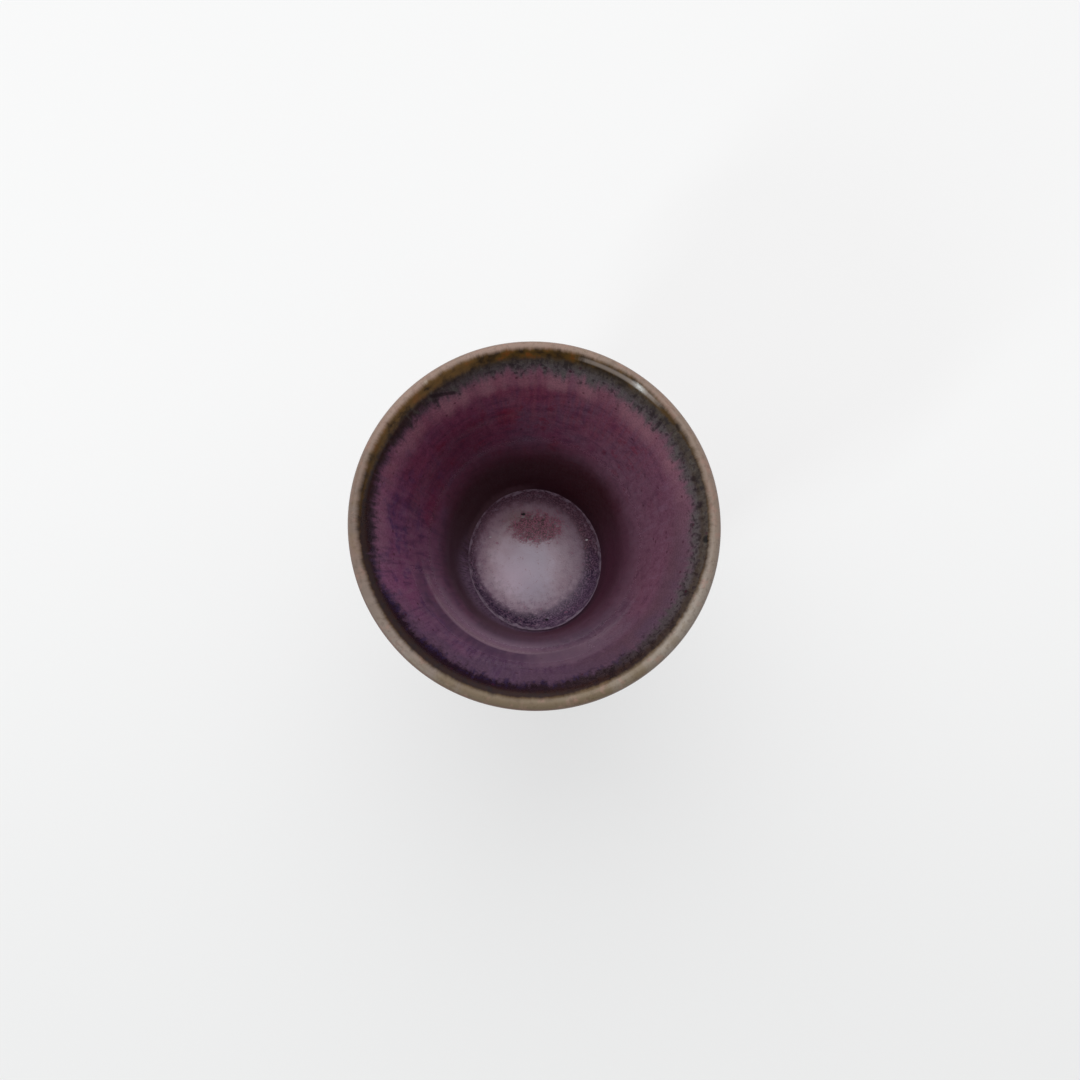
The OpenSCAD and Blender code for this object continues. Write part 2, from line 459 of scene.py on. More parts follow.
covered_clay = inside_wall + lip_round + outside_wall
hidden_floor = thinned(well_floor, hidden_floor_every)
hidden_wall = thinned(covered_clay, hidden_wall_every)
recess_edge = Vector((recess_radius, 0, foot_height))
stoneware = finish_of("toasted stoneware", bare_clay, 0.3)
thrown_body = finished(
    turned(hidden_floor + hidden_wall[1:] + hip_curve[1:] + [recess_edge] + ceiling), "thrown_body"
)
thrown_body.data.materials.append(stoneware)
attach(thrown_body, "root")
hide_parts("clay_body")


# Foot ring
# A coil of the same clay, joined to the base with slip and turned while the cup stood upside down.
# Its outer face tapers to a wide bevel, so that the cup stands on a narrow worn face.

foot_taper = 0.5
foot_bevel = 0.7
recess_flare = 0.5
inner_bevel = 0.3
corner_reach = 0.14
foot_line_depth = 0.05
foot_line_pitch = 0.55
foot_point_spacing = 0.14


def straight(first, second, spacing):
    """A straight stretch of outline, in even steps."""
    steps = max(1, round((second - first).length / spacing))
    return [first.lerp(second, i / steps) for i in range(steps + 1)]


def worn_outline(corners, reach, spacing):
    """An outline from corner to corner, each inner corner rubbed round, with turning lines between."""
    outline = []
    start = corners[0]
    for before, corner, after in zip(corners, corners[1:], corners[2:]):
        arrive = corner + (before - corner).normalized() * reach
        leave = corner + (after - corner).normalized() * reach
        outline += turning_lines(straight(start, arrive, spacing), foot_line_depth, foot_line_pitch)
        outline += interpolate_bezier(arrive, corner, corner, leave, 5)[1:-1]
        start = leave
    return outline + turning_lines(straight(start, corners[-1], spacing), foot_line_depth, foot_line_pitch)


foot_outline = worn_outline(
    [
        Vector((foot_radius, 0, foot_height)),
        Vector((foot_radius - foot_taper, 0, foot_bevel)),
        Vector((foot_radius - foot_taper - foot_bevel, 0, 0)),
        Vector((recess_radius + recess_flare + inner_bevel, 0, 0)),
        Vector((recess_radius + recess_flare, 0, inner_bevel)),
        Vector((recess_radius, 0, recess_depth)),
    ],
    corner_reach, foot_point_spacing,
)
foot = finished(turned(foot_outline + [recess_edge], closed=True), "foot")
foot.data.materials.append(stoneware)
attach(foot, "root")
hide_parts("foot_ring")


# Coats inside the cup
# One copper and iron glaze, poured in and out: it runs off the lip, thickens down the wall and fills the
# well. Where it is thin it breaks tan and brown, below that it fires crimson and violet, and in the well
# pale lilac.

band_height = 4.2
band_thickness = 0.34
wall_coat_thickness = 0.5
pool_depth = 1
outer_coat_thickness = 0.45
hem_thickness = 0.95
hem_height = 3.2
thickness_blend = 1.4
thickening_start = 2.4
thickening_length = 5.5
ring_fill_share = 0.78
lip_first = len(inside_wall) - 1
lip_last = lip_first + lip_steps
hem_last = len(covered_clay) - 1


def coat_thickness(i):
    """How thick the glaze lies on each point of the covered clay."""
    point = covered_clay[i]
    if i <= lip_first:
        down = lip_inside.z - point.z
        thinner = 1 - eased((down - thickening_start) / thickening_length)
        coat = wall_coat_thickness + (band_thickness - wall_coat_thickness) * thinner
        coat = lip_glaze_thickness + (coat - lip_glaze_thickness) * eased(down / thickness_blend)
        return coat - ring_fill_share * inside_rings[i]
    if i <= lip_last:
        return lip_glaze_thickness
    up = (point - hip).length
    if up < hem_thickness:
        return math.sqrt(max(0, hem_thickness ** 2 - (hem_thickness - up) ** 2))
    rolled = 1 - eased((up - hem_thickness) / (hem_height - hem_thickness))
    coat = outer_coat_thickness + (hem_thickness - outer_coat_thickness) * rolled
    down = lip_outside.z - point.z
    return lip_glaze_thickness + (coat - lip_glaze_thickness) * eased(down / thickness_blend)


coat_surface = moved_across(covered_clay, [coat_thickness(i) for i in range(len(covered_clay))])
band_first = min(range(lip_first), key=lambda i: abs(inside_wall[i].z - (lip_inside.z - band_height)))


def coat_outline(first, last):
    """The closed outline of one coat: its glazed face, and the face on the clay with fewer points."""
    glazed = coat_surface[first : last + 1]
    if (glazed[-1] - covered_clay[last]).length < merge_reach:
        glazed = glazed[:-1]
    return glazed + thinned(covered_clay[first : last + 1], hidden_wall_every)[::-1]


def way_out(tree, place):
    """The level direction from the axis to a point."""
    flat = seen_from_above(tree, place)
    return vector_worked(tree, "NORMALIZE", flat)[0]


def toward(tree, around, degrees):
    """1 on the side at so many degrees, counted from the right over the far side, and -1 opposite."""
    side = (math.cos(math.radians(degrees)), math.sin(math.radians(degrees)), 0)
    return vector_worked(tree, "DOT_PRODUCT", around, side)["Value"]


def on_side(tree, around, degrees, start, end, *sways):
    """From 0 where toward() gives the start to 1 where it gives the end."""
    return ramped(tree, toward(tree, around, degrees), start, end, *sways)


def streaked(tree, around, height, girth, tallness):
    """Coordinates for streaks that run down the wall: many round the cup, few up and down."""
    rise = added(tree, "CombineXYZ", {"Z": both(tree, height, tallness)}).outputs[0]
    return vector_worked(tree, "MULTIPLY_ADD", around, (girth, girth, girth), rise)[0]


def apart(tree, first, second):
    """How far one value lies from another, up or down."""
    return worked(tree, "ABSOLUTE", less(tree, first, second))


def near(tree, place, centre, reach, soft):
    """1 inside a round patch, fading to 0 at its edge. The reach may differ in each direction."""
    away = vector_worked(tree, "SUBTRACT", place, centre)[0]
    scaled = vector_worked(tree, "DIVIDE", away, reach)[0]
    distance = vector_worked(tree, "LENGTH", scaled)["Value"]
    return ramped(tree, distance, 1 + soft, 1 - soft)


def made_round(tree, place, share, degrees):
    """Distance from the axis, with the cup's own oval taken out of it."""
    inputs = {"Vector": place, "Angle": -math.radians(degrees)}
    ahead = added(tree, "VectorRotate", inputs, rotation_type="Z_AXIS").outputs[0]
    flat = vector_worked(tree, "MULTIPLY", ahead, (1 / (1 + share), 1 / (1 - share), 0))[0]
    return vector_worked(tree, "LENGTH", flat)["Value"]


def dots(tree, place, spacing, size, kept):
    """Round specks of one size, here and there."""
    cells = added(tree, "TexVoronoi", {"Vector": place, "Scale": 1 / spacing})
    chance = added(tree, "SeparateColor", {0: cells.outputs["Color"]}).outputs[0]
    round_ones = ramped(tree, cells.outputs["Distance"], size / spacing, 0.5 * size / spacing)
    return both(tree, round_ones, ramped(tree, chance, 1 - kept, 1.05 - kept))


def lip_over(tree, place, height, around, base):
    """The thin coat on the lip: tan and pinkish grey, with an amber strip where it starts to run, a painted
    highlight line beside the glint and a painted dull glint.
    """
    girdle = streaked(tree, around, height, 34, 0.5)
    patches = grain(tree, girdle, 5, 3, 0.6)
    ragged = grain(tree, girdle, 1.2, 4, 0.7)
    fine = grain(tree, place, 0.8, 3, 0.6)
    inward_side = (math.cos(math.radians(lip_lean)), 0, math.sin(math.radians(lip_lean)))
    radius = made_round(tree, place, mouth_oval_share, mouth_oval_degrees)
    level = added(tree, "CombineXYZ", {"X": radius, "Z": height}).outputs[0]
    level = vector_worked(tree, "SUBTRACT", level, lip_middle)[0]
    level = vector_worked(tree, "DOT_PRODUCT", level, inward_side)["Value"]
    loose = swayed(tree, level, (ragged, 0.6), (patches, 0.4))
    far_side = toward(tree, around, 98)
    tan_edge = shifted(
        tree, 0.2,
        (far_side, 0.36),
        (on_side(tree, around, 246, 0.72, 0.97), 0.3),
        (on_side(tree, around, 308, 0.8, 0.97), -0.2),
    )
    above_edge = less(tree, loose, tan_edge)
    tan = blended(tree, ramped(tree, patches, 0.4, 0.6), (130, 115, 106), (144, 130, 122))
    tan = blended(tree, on_side(tree, around, -42, 0.45, 0.97), tan, (141, 130, 120))
    rosy = on_side(tree, around, 128, 0.1, 0.9, (patches, 1.5))
    yellow = on_side(tree, around, 274, 0.6, 0.97, (patches, 0.6))
    thin_side = on_side(tree, around, 180, 0.8, 0.98)
    blotch = grain(tree, place, 2.2, 3, 0.6)
    outer_line = ramped(tree, less(tree, radius, height), -23.5, -22.95, (fine, 0.2))
    # Painted highlight: a small pale spot on the far-left lip, standing in for a dull glint.
    painted_dull_glint = near(tree, place, (-18.6, 24.7, 55.8), (0.7, 0.7, 0.6), 0.5)
    tan = laid_over(
        tree, tan,
        (on_side(tree, around, 42, 0.3, 0.95), 0.75, (130, 110, 96)),
        (rosy, 0.6, (140, 110, 96)),
        (yellow, 0.85, (110, 93, 70)),
        (thin_side, 0.45, (96, 78, 68)),
        (ramped(tree, blotch, 0.52, 0.7), 0.5, (150, 116, 104)),
        (ramped(tree, blotch, 0.46, 0.3), 0.35, (118, 100, 76)),
        (ramped(tree, fine, 0.5, 0.32), 0.3, (84, 64, 52)),
        (outer_line, 0.6, (104, 76, 66)),
        (painted_dull_glint, 0.7, (168, 154, 142)),
    )
    beads = grain(tree, streaked(tree, around, height, 9, 0.5), 0.9, 3, 0.6)
    amber = blended(tree, ramped(tree, beads, 0.36, 0.58), (38, 22, 3), (80, 55, 14))
    rust = both(tree, ramped(tree, beads, 0.54, 0.7), on_side(tree, around, 108, 0.5, 0.9))
    left_amber = both(tree, on_side(tree, around, 130, 0.88, 0.98), ramped(tree, beads, 0.3, 0.5))
    amber = laid_over(
        tree, amber,
        (rust, 0.6, (122, 60, 10)),
        (left_amber, 0.5, (112, 82, 46)),
    )
    amber_side = on_side(tree, around, 102, 0.1, 0.8)
    amber_end = swayed(tree, shifted(tree, -0.8, (amber_side, -1.8)), (patches, 0.8))
    amber_share = ramped(tree, above_edge, amber_end, both(tree, amber_end, 0.5))
    amber_share = both(tree, amber_share, shifted(tree, 0.58, (amber_side, 0.4)))
    base = blended(tree, amber_share, base, amber)
    # Painted highlight: a pale line along the inner shoulder on the far right, the dim tail of the lamp's
    # glint.
    glint_side = on_side(tree, around, 59, 0.955, 0.98, (ragged, 0.02))
    painted_glint_line = both(tree, ramped(tree, apart(tree, level, -0.32), 0.6, 0.15), glint_side)
    base = laid_over(tree, base, (painted_glint_line, 0.75, (146, 132, 124)))
    soft_end = shifted(tree, -0.7, (far_side, 0.25))
    return blended(tree, ramped(tree, above_edge, soft_end, 0.4), base, tan)


def band_over(tree, place, height, around, streaks, wide_streaks, base):
    """The dark band where the purple has run off: slate and iron brown, with an edge of ragged streaks."""
    clumps = grain(tree, streaked(tree, around, height, 30, 0.6), 1.3, 3, 0.65)
    threads = grain(tree, streaked(tree, around, height, 30, 0.34), 0.75, 2, 0.55)
    flecks = grain(tree, place, 0.85, 2)
    edge = shifted(
        tree, 52.5,
        (on_side(tree, around, 175, 0.6, 1), 0.8),
        (on_side(tree, around, 280, 0, 0.8), -0.6),
        (on_side(tree, around, 268, 0.92, 0.99), 0.35),
    )
    teeth = swayed(tree, height, (streaks, 1.8), (wide_streaks, 1.2))
    above_edge = less(tree, swayed(tree, teeth, (threads, 1), (clumps, 1)), edge)
    halo = blended(tree, on_side(tree, around, 95, -0.5, 0.6), (90, 68, 86), (148, 102, 114))
    crisp = on_side(tree, around, 96, 0.9, 0.98)
    halo_end = shifted(tree, -5.8, (crisp, 0.9))
    halo_height = swayed(tree, less(tree, height, edge), (wide_streaks, 2), (clumps, 0.7), (flecks, 0.5))
    halo_start = ramped(tree, halo_height, halo_end, shifted(tree, -2, (crisp, -0.7)))
    halo_share = shifted(tree, 0.34, (ramped(tree, wide_streaks, 0.35, 0.6), 0.45))
    halo_share = both(tree, halo_share, shifted(tree, 1, (on_side(tree, around, 178, 0.5, 0.95), -0.45)))
    base = laid_over(tree, base, (halo_start, halo_share, halo))
    bright = on_side(tree, around, 34, -0.45, 0.8)
    ash = blended(tree, bright, (68, 50, 66), (98, 82, 90))
    base = laid_over(tree, base, (ramped(tree, above_edge, -1.8, 0), 0.75, ash))
    slate = blended(tree, bright, (50, 37, 40), (88, 80, 82))
    slate = blended(tree, on_side(tree, around, 225, 0.4, 0.95), slate, (34, 20, 32))
    top = blended(tree, bright, (44, 25, 21), (70, 60, 53))
    slate = blended(tree, ramped(tree, height, 53.2, 54.6, (flecks, 0.8)), slate, top)
    olive = both(tree, ramped(tree, clumps, 0.54, 0.66), on_side(tree, around, 65, -0.2, 0.6))
    slate = laid_over(
        tree, slate,
        (ramped(tree, clumps, 0.52, 0.36), 0.7, (30, 22, 24)),
        (olive, 0.32, (98, 94, 90)),
    )
    base = blended(tree, ramped(tree, above_edge, -0.7, 0.8), base, slate)
    at_edge = both(tree, ramped(tree, above_edge, -1.6, -0.4), ramped(tree, above_edge, 1.6, 0.6))
    ink = both(tree, ramped(tree, clumps, 0.5, 0.6), on_side(tree, around, 248, 0.3, 0.8), at_edge)
    loose_flecks = both(tree, ramped(tree, flecks, 0.46, 0.32), ramped(tree, above_edge, -2.6, -0.4))
    crack = shifted(tree, swayed(tree, height, (wide_streaks, 0.4)), (toward(tree, around, 34.3), 13.5))
    crack_side = on_side(tree, around, 124.3, 0.9965, 0.998)
    crack = both(tree, ramped(tree, apart(tree, crack, 52.9), 0.55, 0.15), crack_side)
    base = laid_over(
        tree, base,
        (ink, 0.45, (46, 38, 72)),
        (loose_flecks, 0.62, (40, 28, 34)),
        (crack, 0.75, (28, 18, 20)),
    )
    freckle = near(tree, place, (30.1, -2.7, 55.1), (1, 0.7, 1), 0.35)
    return blended(tree, freckle, base, (20, 16, 14))


def deep_over(tree, place, height, around, base):
    """The lower wall: dark crimson on the far side, and lilac streaks where the glaze thickens below."""
    runs = streaked(tree, around, height, 16, 0.14)
    streaks = grain(tree, runs, 1.1, 3, 0.6)
    fine_streaks = grain(tree, runs, 0.35, 3, 0.7)
    cloud = grain(tree, place, 5, 3, 0.6)
    low = swayed(tree, height, (streaks, 1.4), (cloud, 1.5))
    deep = blended(tree, on_side(tree, around, -20, -0.9, 0.9), (62, 20, 42), (88, 40, 62))
    deep = blended(tree, on_side(tree, around, 92, -0.1, 0.7), deep, (56, 0, 12))
    low_side = shifted(tree, low, (on_side(tree, around, 78, 0.2, 0.95), -2.4))
    base = blended(tree, ramped(tree, low_side, 32.6, 22.5), base, deep)
    near_left = toward(tree, around, 226)
    lilac_start = shifted(tree, 15.5, (ramped(tree, near_left, 0, 0.9), 6))
    run = ramped(tree, less(tree, lilac_start, swayed(tree, low, (fine_streaks, 3))), -1, 5)
    side = ramped(tree, near_left, 0, 1, (streaks, 0.9))
    lilac = blended(tree, side, (84, 48, 70), (134, 104, 136))
    lilac = laid_over(
        tree, lilac,
        (ramped(tree, fine_streaks, 0.52, 0.4), 0.8, (60, 30, 58)),
        (ramped(tree, fine_streaks, 0.52, 0.64), 0.6, (160, 142, 156)),
    )
    # Painted shade: the lower wall on the near right, just above the well, is darkened where the broad
    # light's sheen would show.
    near_right_shade = both(tree, on_side(tree, around, 290, 0.6, 0.94), ramped(tree, low, 17.5, 14))
    grey_end = both(tree, on_side(tree, around, 128, 0.72, 0.92), ramped(tree, low, 17, 14.5))
    return laid_over(
        tree, base,
        (run, shifted(tree, 0.35, (side, 0.6)), lilac),
        (near_right_shade, 0.8, (48, 22, 40)),
        (grey_end, 0.8, (104, 74, 82)),
    )


def wall_paint(tree):
    """The glaze from the lip down to the pool, in one finish, so that the coats pass into each other."""
    place = cup_place(tree)
    height = height_of(tree, place)
    around = way_out(tree, place)
    drift = grain(tree, place, 9, 3, 0.55)
    patches = grain(tree, place, 2.8, 4, 0.6)
    runs = streaked(tree, around, height, 30, 0.16)
    streaks = grain(tree, runs, 1.1, 4, 0.6)
    wide_streaks = grain(tree, runs, 5, 3, 0.55)
    specks = grain(tree, place, 0.32, 2)

    rose = on_side(tree, around, 22, -0.15, 0.9, (drift, 0.9))
    wall = blended(tree, rose, (92, 67, 88), (117, 75, 95))
    plum = on_side(tree, around, 178, 0.25, 0.9, (drift, 0.8))
    wall = blended(tree, plum, wall, (122, 73, 104))
    crimson = on_side(tree, around, 114, 0.3, 1.05, (drift, 0.8), (patches, 0.4))
    wall = blended(tree, crimson, wall, (108, 50, 75))
    left_side = both(tree, on_side(tree, around, 165, -0.5, 0.4), on_side(tree, around, 105, 1, 0.6))
    blue = near(tree, place, (-25.4, 4.2, 46), (5, 6, 5), 0.95)
    rosy = both(tree, on_side(tree, around, 72, 0.55, 0.95), ramped(tree, height, 36, 41))
    red_side = both(tree, on_side(tree, around, 95, -0.1, 0.7), ramped(tree, height, 50, 45))
    far_dark = near(tree, place, (-12.6, 19.4, 40), (6, 6, 5), 0.7)
    left_light = near(tree, place, (-20.6, 12, 42.5), (5, 6, 6), 0.9)
    grey_left = both(tree, on_side(tree, around, 241, 0.85, 0.98), ramped(tree, height, 41, 45))
    wall = laid_over(
        tree, wall,
        (both(tree, ramped(tree, patches, 0.52, 0.66), left_side), 0.6, (78, 52, 92)),
        (ramped(tree, blue, 0.3, 1.3, (patches, 1.2)), 0.5, (70, 52, 90)),
        (both(tree, rosy, ramped(tree, streaks, 0.4, 0.6)), 0.5, (126, 64, 80)),
        (both(tree, ramped(tree, patches, 0.46, 0.3), red_side), 0.55, (112, 28, 50)),
        (far_dark, 0.2, (72, 20, 40)),
        (ramped(tree, left_light, 0.1, 1.2, (patches, 0.5)), 0.55, (126, 64, 92)),
        (grey_left, 0.4, (92, 76, 100)),
    )
    for middle, reach, tint in (
        ((-4.9, 23, 41.6), (2, 3.2, 2.8), (118, 16, 40)),
        ((-19, 6.2, 34), (3.4, 3.4, 3.4), (122, 30, 64)),
        ((-12, 21.5, 42), (2, 2, 2.4), (100, 22, 44)),
    ):
        spot = ramped(tree, near(tree, place, middle, reach, 0.85), 0.1, 1.1, (patches, 0.5))
        wall = laid_over(tree, wall, (spot, 0.65, tint))
    soft_side = on_side(tree, around, 110, 0.9, 0.2)
    run_side = on_side(tree, around, 222, -0.1, 0.9, (patches, 0.8))
    mottle = grain(tree, streaked(tree, around, height, 24, 0.9), 1.7, 5, 0.65)
    girdle = grain(tree, streaked(tree, around, height, 6, 1.1), 1.2, 4, 0.6)
    girdle = both(tree, ramped(tree, girdle, 0.5, 0.66), on_side(tree, around, 92, 0.1, 0.8))
    wall = laid_over(
        tree, wall,
        (ramped(tree, mottle, 0.5, 0.66), shifted(tree, 0.08, (soft_side, 0.14)), (130, 98, 118)),
        (ramped(tree, mottle, 0.48, 0.34), 0.35, (66, 28, 54)),
        (ramped(tree, streaks, 0.52, 0.66), shifted(tree, 0.06, (soft_side, 0.26)), (130, 96, 118)),
        (ramped(tree, streaks, 0.5, 0.36), shifted(tree, 0.06, (run_side, 0.5)), (72, 44, 76)),
        (girdle, 0.3, (58, 30, 54)),
    )

    # Painted light and shade round the waist groove on the near left: darker above it, partly with real
    # streaks, and darker again in the hollow above that. It is lighter below the groove, with a painted
    # highlight along the groove itself and a lighter band half way up on the near right.
    groove_side = on_side(tree, around, waist_groove_degrees, 0.6, 0.95, (patches, 0.2))
    above_groove = swayed(tree, less(tree, height, waist_groove_level), (drift, 0.5))
    shade_above_groove = both(tree, on_side(tree, around, 252, 0.74, 0.93), ramped(tree, above_groove, 9, 3))
    streaked_share = shifted(tree, 0.3, (ramped(tree, streaks, 0.56, 0.4), 0.6))
    hollow_side = on_side(tree, around, 236, 0.72, 0.92)
    hollow = both(tree, ramped(tree, apart(tree, above_groove, 2.4), 2.6, 0.8), hollow_side)
    below = both(tree, ramped(tree, above_groove, -9, -3), ramped(tree, above_groove, 0.6, 0))
    groove_highlight = ramped(tree, apart(tree, above_groove, -0.6), 1.6, 0.2)
    low_right = both(tree, on_side(tree, around, 328, 0.6, 0.97), ramped(tree, height, 43, 49))
    half_way_up = both(tree, ramped(tree, height, 46, 44), ramped(tree, height, 34, 37))
    wall = laid_over(
        tree, wall,
        (both(tree, ramped(tree, above_groove, -0.6, 0.7), shade_above_groove), streaked_share, (78, 48, 78)),
        (hollow, 0.2, (62, 38, 62)),
        (both(tree, below, groove_side), 0.75, (136, 104, 126)),
        (both(tree, groove_highlight, groove_side), 0.3, (152, 132, 136)),
        (low_right, 0.8, (94, 68, 78)),
        (both(tree, on_side(tree, around, 292, 0.86, 0.96), half_way_up), 0.45, (124, 98, 114)),
    )

    wall = deep_over(tree, place, height, around, wall)
    wall = band_over(tree, place, height, around, streaks, wide_streaks, wall)
    wall = laid_over(tree, wall, (dots(tree, place, 2.2, 0.36, 0.5), 0.6, (58, 16, 34)))
    wall = blended(tree, ramped(tree, specks, 0.62, 0.38), wall, blended(tree, 0.8, (20, 6, 14), wall))
    base = lip_over(tree, place, height, around, wall)

    on_lip = ramped(tree, height, 53.4, 54.8)
    dull_zone = ramped(tree, apart(tree, above_groove, 2.8), 4.2, 2)
    roughness = shifted(
        tree, 0.12,
        (specks, 0.14),
        (ramped(tree, height, 38, 26), 0.28),
        (both(tree, on_side(tree, around, 318, 0.5, 0.95), ramped(tree, height, 26, 20)), 0.2),
        (both(tree, on_side(tree, around, 246, 0.5, 0.85), dull_zone), 0.26),
        (both(tree, on_side(tree, around, 233, 0.4, 0.9), on_lip), 0.3),
    )
    skin = both(tree, grain(tree, place, 0.9, 2), 0.5)
    bumps = worked(tree, "ADD", skin, both(tree, streaks, 0.35))
    bumps = both(tree, bumps, shifted(tree, 1, (on_lip, -0.75)))
    return base, roughness, bumps, 0.06


def pool_paint(tree):
    """The thick glaze in the well: pale lilac with a centre that is partly a painted reflection, a speckled
    dark edge with light lines that are partly a painted highlight, a blush of red specks, and two painted
    glints.
    """
    place = cup_place(tree)
    around = way_out(tree, place)
    soft = grain(tree, place, 2.6, 3, 0.6)
    small = grain(tree, place, 1.1, 3, 0.6)
    specks = grain(tree, place, 0.3, 2, 0.7)
    reach = made_round(tree, place, well_oval_share, well_oval_degrees)
    pale_place = vector_worked(tree, "SUBTRACT", place, (-1.4, 0.8, 0))[0]
    pale_reach = made_round(tree, pale_place, well_oval_share, well_oval_degrees)
    y = added(tree, "SeparateXYZ", {0: place}).outputs["Y"]
    pale = blended(tree, ramped(tree, soft, 0.35, 0.65), (208, 176, 191), (222, 198, 213))
    # The pale centre is partly the pool's milky glaze and partly a painted reflection of the light,
    # brightest off-centre towards the near left.
    milky_and_sheen = near(tree, place, (-0.6, -0.8, 10), (4.4, 5, 9), 0.9)
    bright = near(tree, place, (-3.6, -3.6, 10), (4.2, 4.4, 9), 0.9)
    cool = near(tree, place, (0.4, -6.4, 10), (3.4, 3.2, 9), 0.9)
    pale = laid_over(
        tree, pale,
        (milky_and_sheen, 0.75, (218, 212, 230)),
        (bright, 0.6, (236, 212, 232)),
        (cool, 0.5, (178, 170, 192)),
    )
    outward = ramped(tree, pale_reach, 5.2, 12, (small, 1.6), (specks, 0.8))
    pale = blended(tree, outward, pale, (154, 126, 146))
    dust = both(tree, ramped(tree, specks, 0.5, 0.38), ramped(tree, small, 0.35, 0.6))
    far = on_side(tree, around, 92, -0.4, 0.7, (soft, 0.8))
    ink = blended(tree, far, (48, 28, 58), (88, 58, 74))
    frost = blended(tree, far, (134, 106, 132), (132, 98, 114))
    ring = blended(tree, ramped(tree, specks, 0.42, 0.62), ink, frost)
    ring = laid_over(
        tree, ring,
        (on_side(tree, around, 308, 0.7, 0.97), 0.28, (124, 96, 126)),
        (on_side(tree, around, 236, 0.7, 0.97), 0.24, (40, 22, 50)),
    )
    right_side = on_side(tree, around, 18, 0.2, 0.95)
    dull = both(tree, right_side, ramped(tree, reach, 3, 7))
    pale = laid_over(
        tree, pale,
        (ramped(tree, y, 1.5, 9), 0.55, (140, 100, 116)),
        (both(tree, dust, ramped(tree, pale_reach, 4.5, 10.5)), 0.6, (104, 74, 98)),
        (dull, 0.4, (152, 126, 144)),
    )
    loose = swayed(tree, pale_reach, (small, 0.9), (specks, 1.8))
    loose = shifted(tree, loose, (right_side, -0.9))
    base = blended(tree, ramped(tree, loose, 9.5, 11), pale, ring)

    blush = near(tree, place, (0.2, 6.7, 10), (5, 2.9, 9), 0.55)
    blush = ramped(tree, blush, 0.2, 0.9, (specks, 0.9), (small, 0.9))
    olive = near(tree, place, (-3, 8.2, 10), (2.4, 1.8, 9), 0.8)
    base = laid_over(tree, base, (olive, 0.3, (120, 98, 74)))
    red = blended(tree, ramped(tree, specks, 0.4, 0.6), (64, 0, 28), (166, 88, 116))
    base = laid_over(tree, base, (blush, 0.95, red))

    near_edge = on_side(tree, around, 250, 0.1, 0.9)
    line_reach = swayed(tree, shifted(tree, reach, (near_edge, 0.35)), (grain(tree, place, 1.3, 3), 0.95))
    # Light lines round the pool's edge: the pale glaze edge on the raised bead, partly a painted highlight.
    for line, width, share, breaks in ((13.25, 0.5, 0.7, 0.3), (12.3, 0.4, 0.32, 0.46)):
        away = apart(tree, line_reach, line)
        pale_edge_and_highlight = both(tree, ramped(tree, away, width, 0.1), ramped(tree, small, breaks, breaks + 0.2))
        base = laid_over(tree, base, (pale_edge_and_highlight, share, (188, 170, 188)))
    # Pale and dark spots at the two pinholes, then two painted glints where bubbles near the pool's edge
    # catch the light.
    for middle, size, tint in (
        ((-2.3, 8.75, 10), 0.3, (150, 128, 136)),
        ((2.6, -10.9, 10), 0.22, (140, 126, 146)),
        ((-2.2, 9.3, 10), 0.36, (18, 4, 12)),
        ((2.3, -11.2, 10), 0.3, (12, 4, 14)),
        ((10, 4.2, 10.5), 0.2, (214, 208, 214)),
        ((-8.5, 4.8, 10.3), 0.16, (206, 198, 206)),
    ):
        base = blended(tree, near(tree, place, middle, (size * 1.2, size * 0.7, 9), 0.4), base, tint)
    roughness = shifted(tree, 0.24, (ramped(tree, reach, 7, 11), 0.16))
    bumps = worked(tree, "ADD", specks, both(tree, soft, 1.2))
    return base, roughness, bumps, 0.05


def inside_coat(skin, name, slot, node, paint, gloss, shaped=by_hand):
    """One coat of the inside, in its place on the clay."""
    coat = finished(skin, name, shaped)
    coat.data.materials.append(finish_of(slot, paint, gloss))
    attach(coat, "root")
    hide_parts(node)


# The well: a thin raised line where the pool meets the wall, and two pinholes that burst in the firing.
bead_height = 0.1
bead_reach = 0.5
bead_peak = 0.999
pinholes = [(Vector((-2.2, 9.1)), 0.45, 0.25), (Vector((2.3, -10.8)), 0.4, 0.25)]
swell_height = 0.05
swell_size = 4
swell_radius = 12
swell_fade = 3


def pool_by_hand(place):
    """The pool's own surface, with its pinholes and a slight swell, moved by hand like the rest."""
    radius = math.hypot(place.x, place.y)
    moved = place.copy()
    for middle, reach, depth in pinholes:
        away = (Vector((place.x, place.y)) - middle).length / reach
        if away < 1 and place.z > well_floor_height + pool_depth / 2:
            moved.z -= depth * (1 - away ** 2) ** 2
    if place.z > well_floor_height + pool_depth * 0.9:
        swell = swell_height * noise.noise(Vector((place.x / swell_size, place.y / swell_size, 3)))
        moved.z += swell * eased((swell_radius - radius) / swell_fade)
    return by_hand(moved)


pool_middle = Vector((0, 0, well_floor_height + pool_depth))
pool_floor = pulled_curve(pool_middle, 90, coat_surface[0], low_lean, *floor_handle_shares, 90)
beads = [bead_height * eased(1 - (pool_floor[-1] - point).length / bead_reach) for point in pool_floor]
pool_face = moved_across(pool_floor, [bead * (1 - bead / bead_height * bead_peak) * 4 for bead in beads])
pool_skin = turned(pool_face + hidden_floor[::-1])
inside_gloss = 0.3
inside_coat(pool_skin, "pool", "pool_glaze", "well_glaze", pool_paint, inside_gloss, pool_by_hand)
for name, slot, node, first, last in (
    ("wall_coat", "purple_glaze", "wall_glaze", 0, band_first),
    ("dark_band", "dark_glaze", "rim_band_glaze", band_first, lip_first),
    ("lip_coat", "tan_glaze", "lip_glaze", lip_first, lip_last),
):
    inside_coat(turned(coat_outline(first, last), closed=True), name, slot, node, wall_paint, inside_gloss)


# Coat outside the cup
# The same glaze, dipped: it runs down from the lip and stops above the foot in a thick roll with drips. The
# roll is pale, as in the well, because the glaze lies thick there.

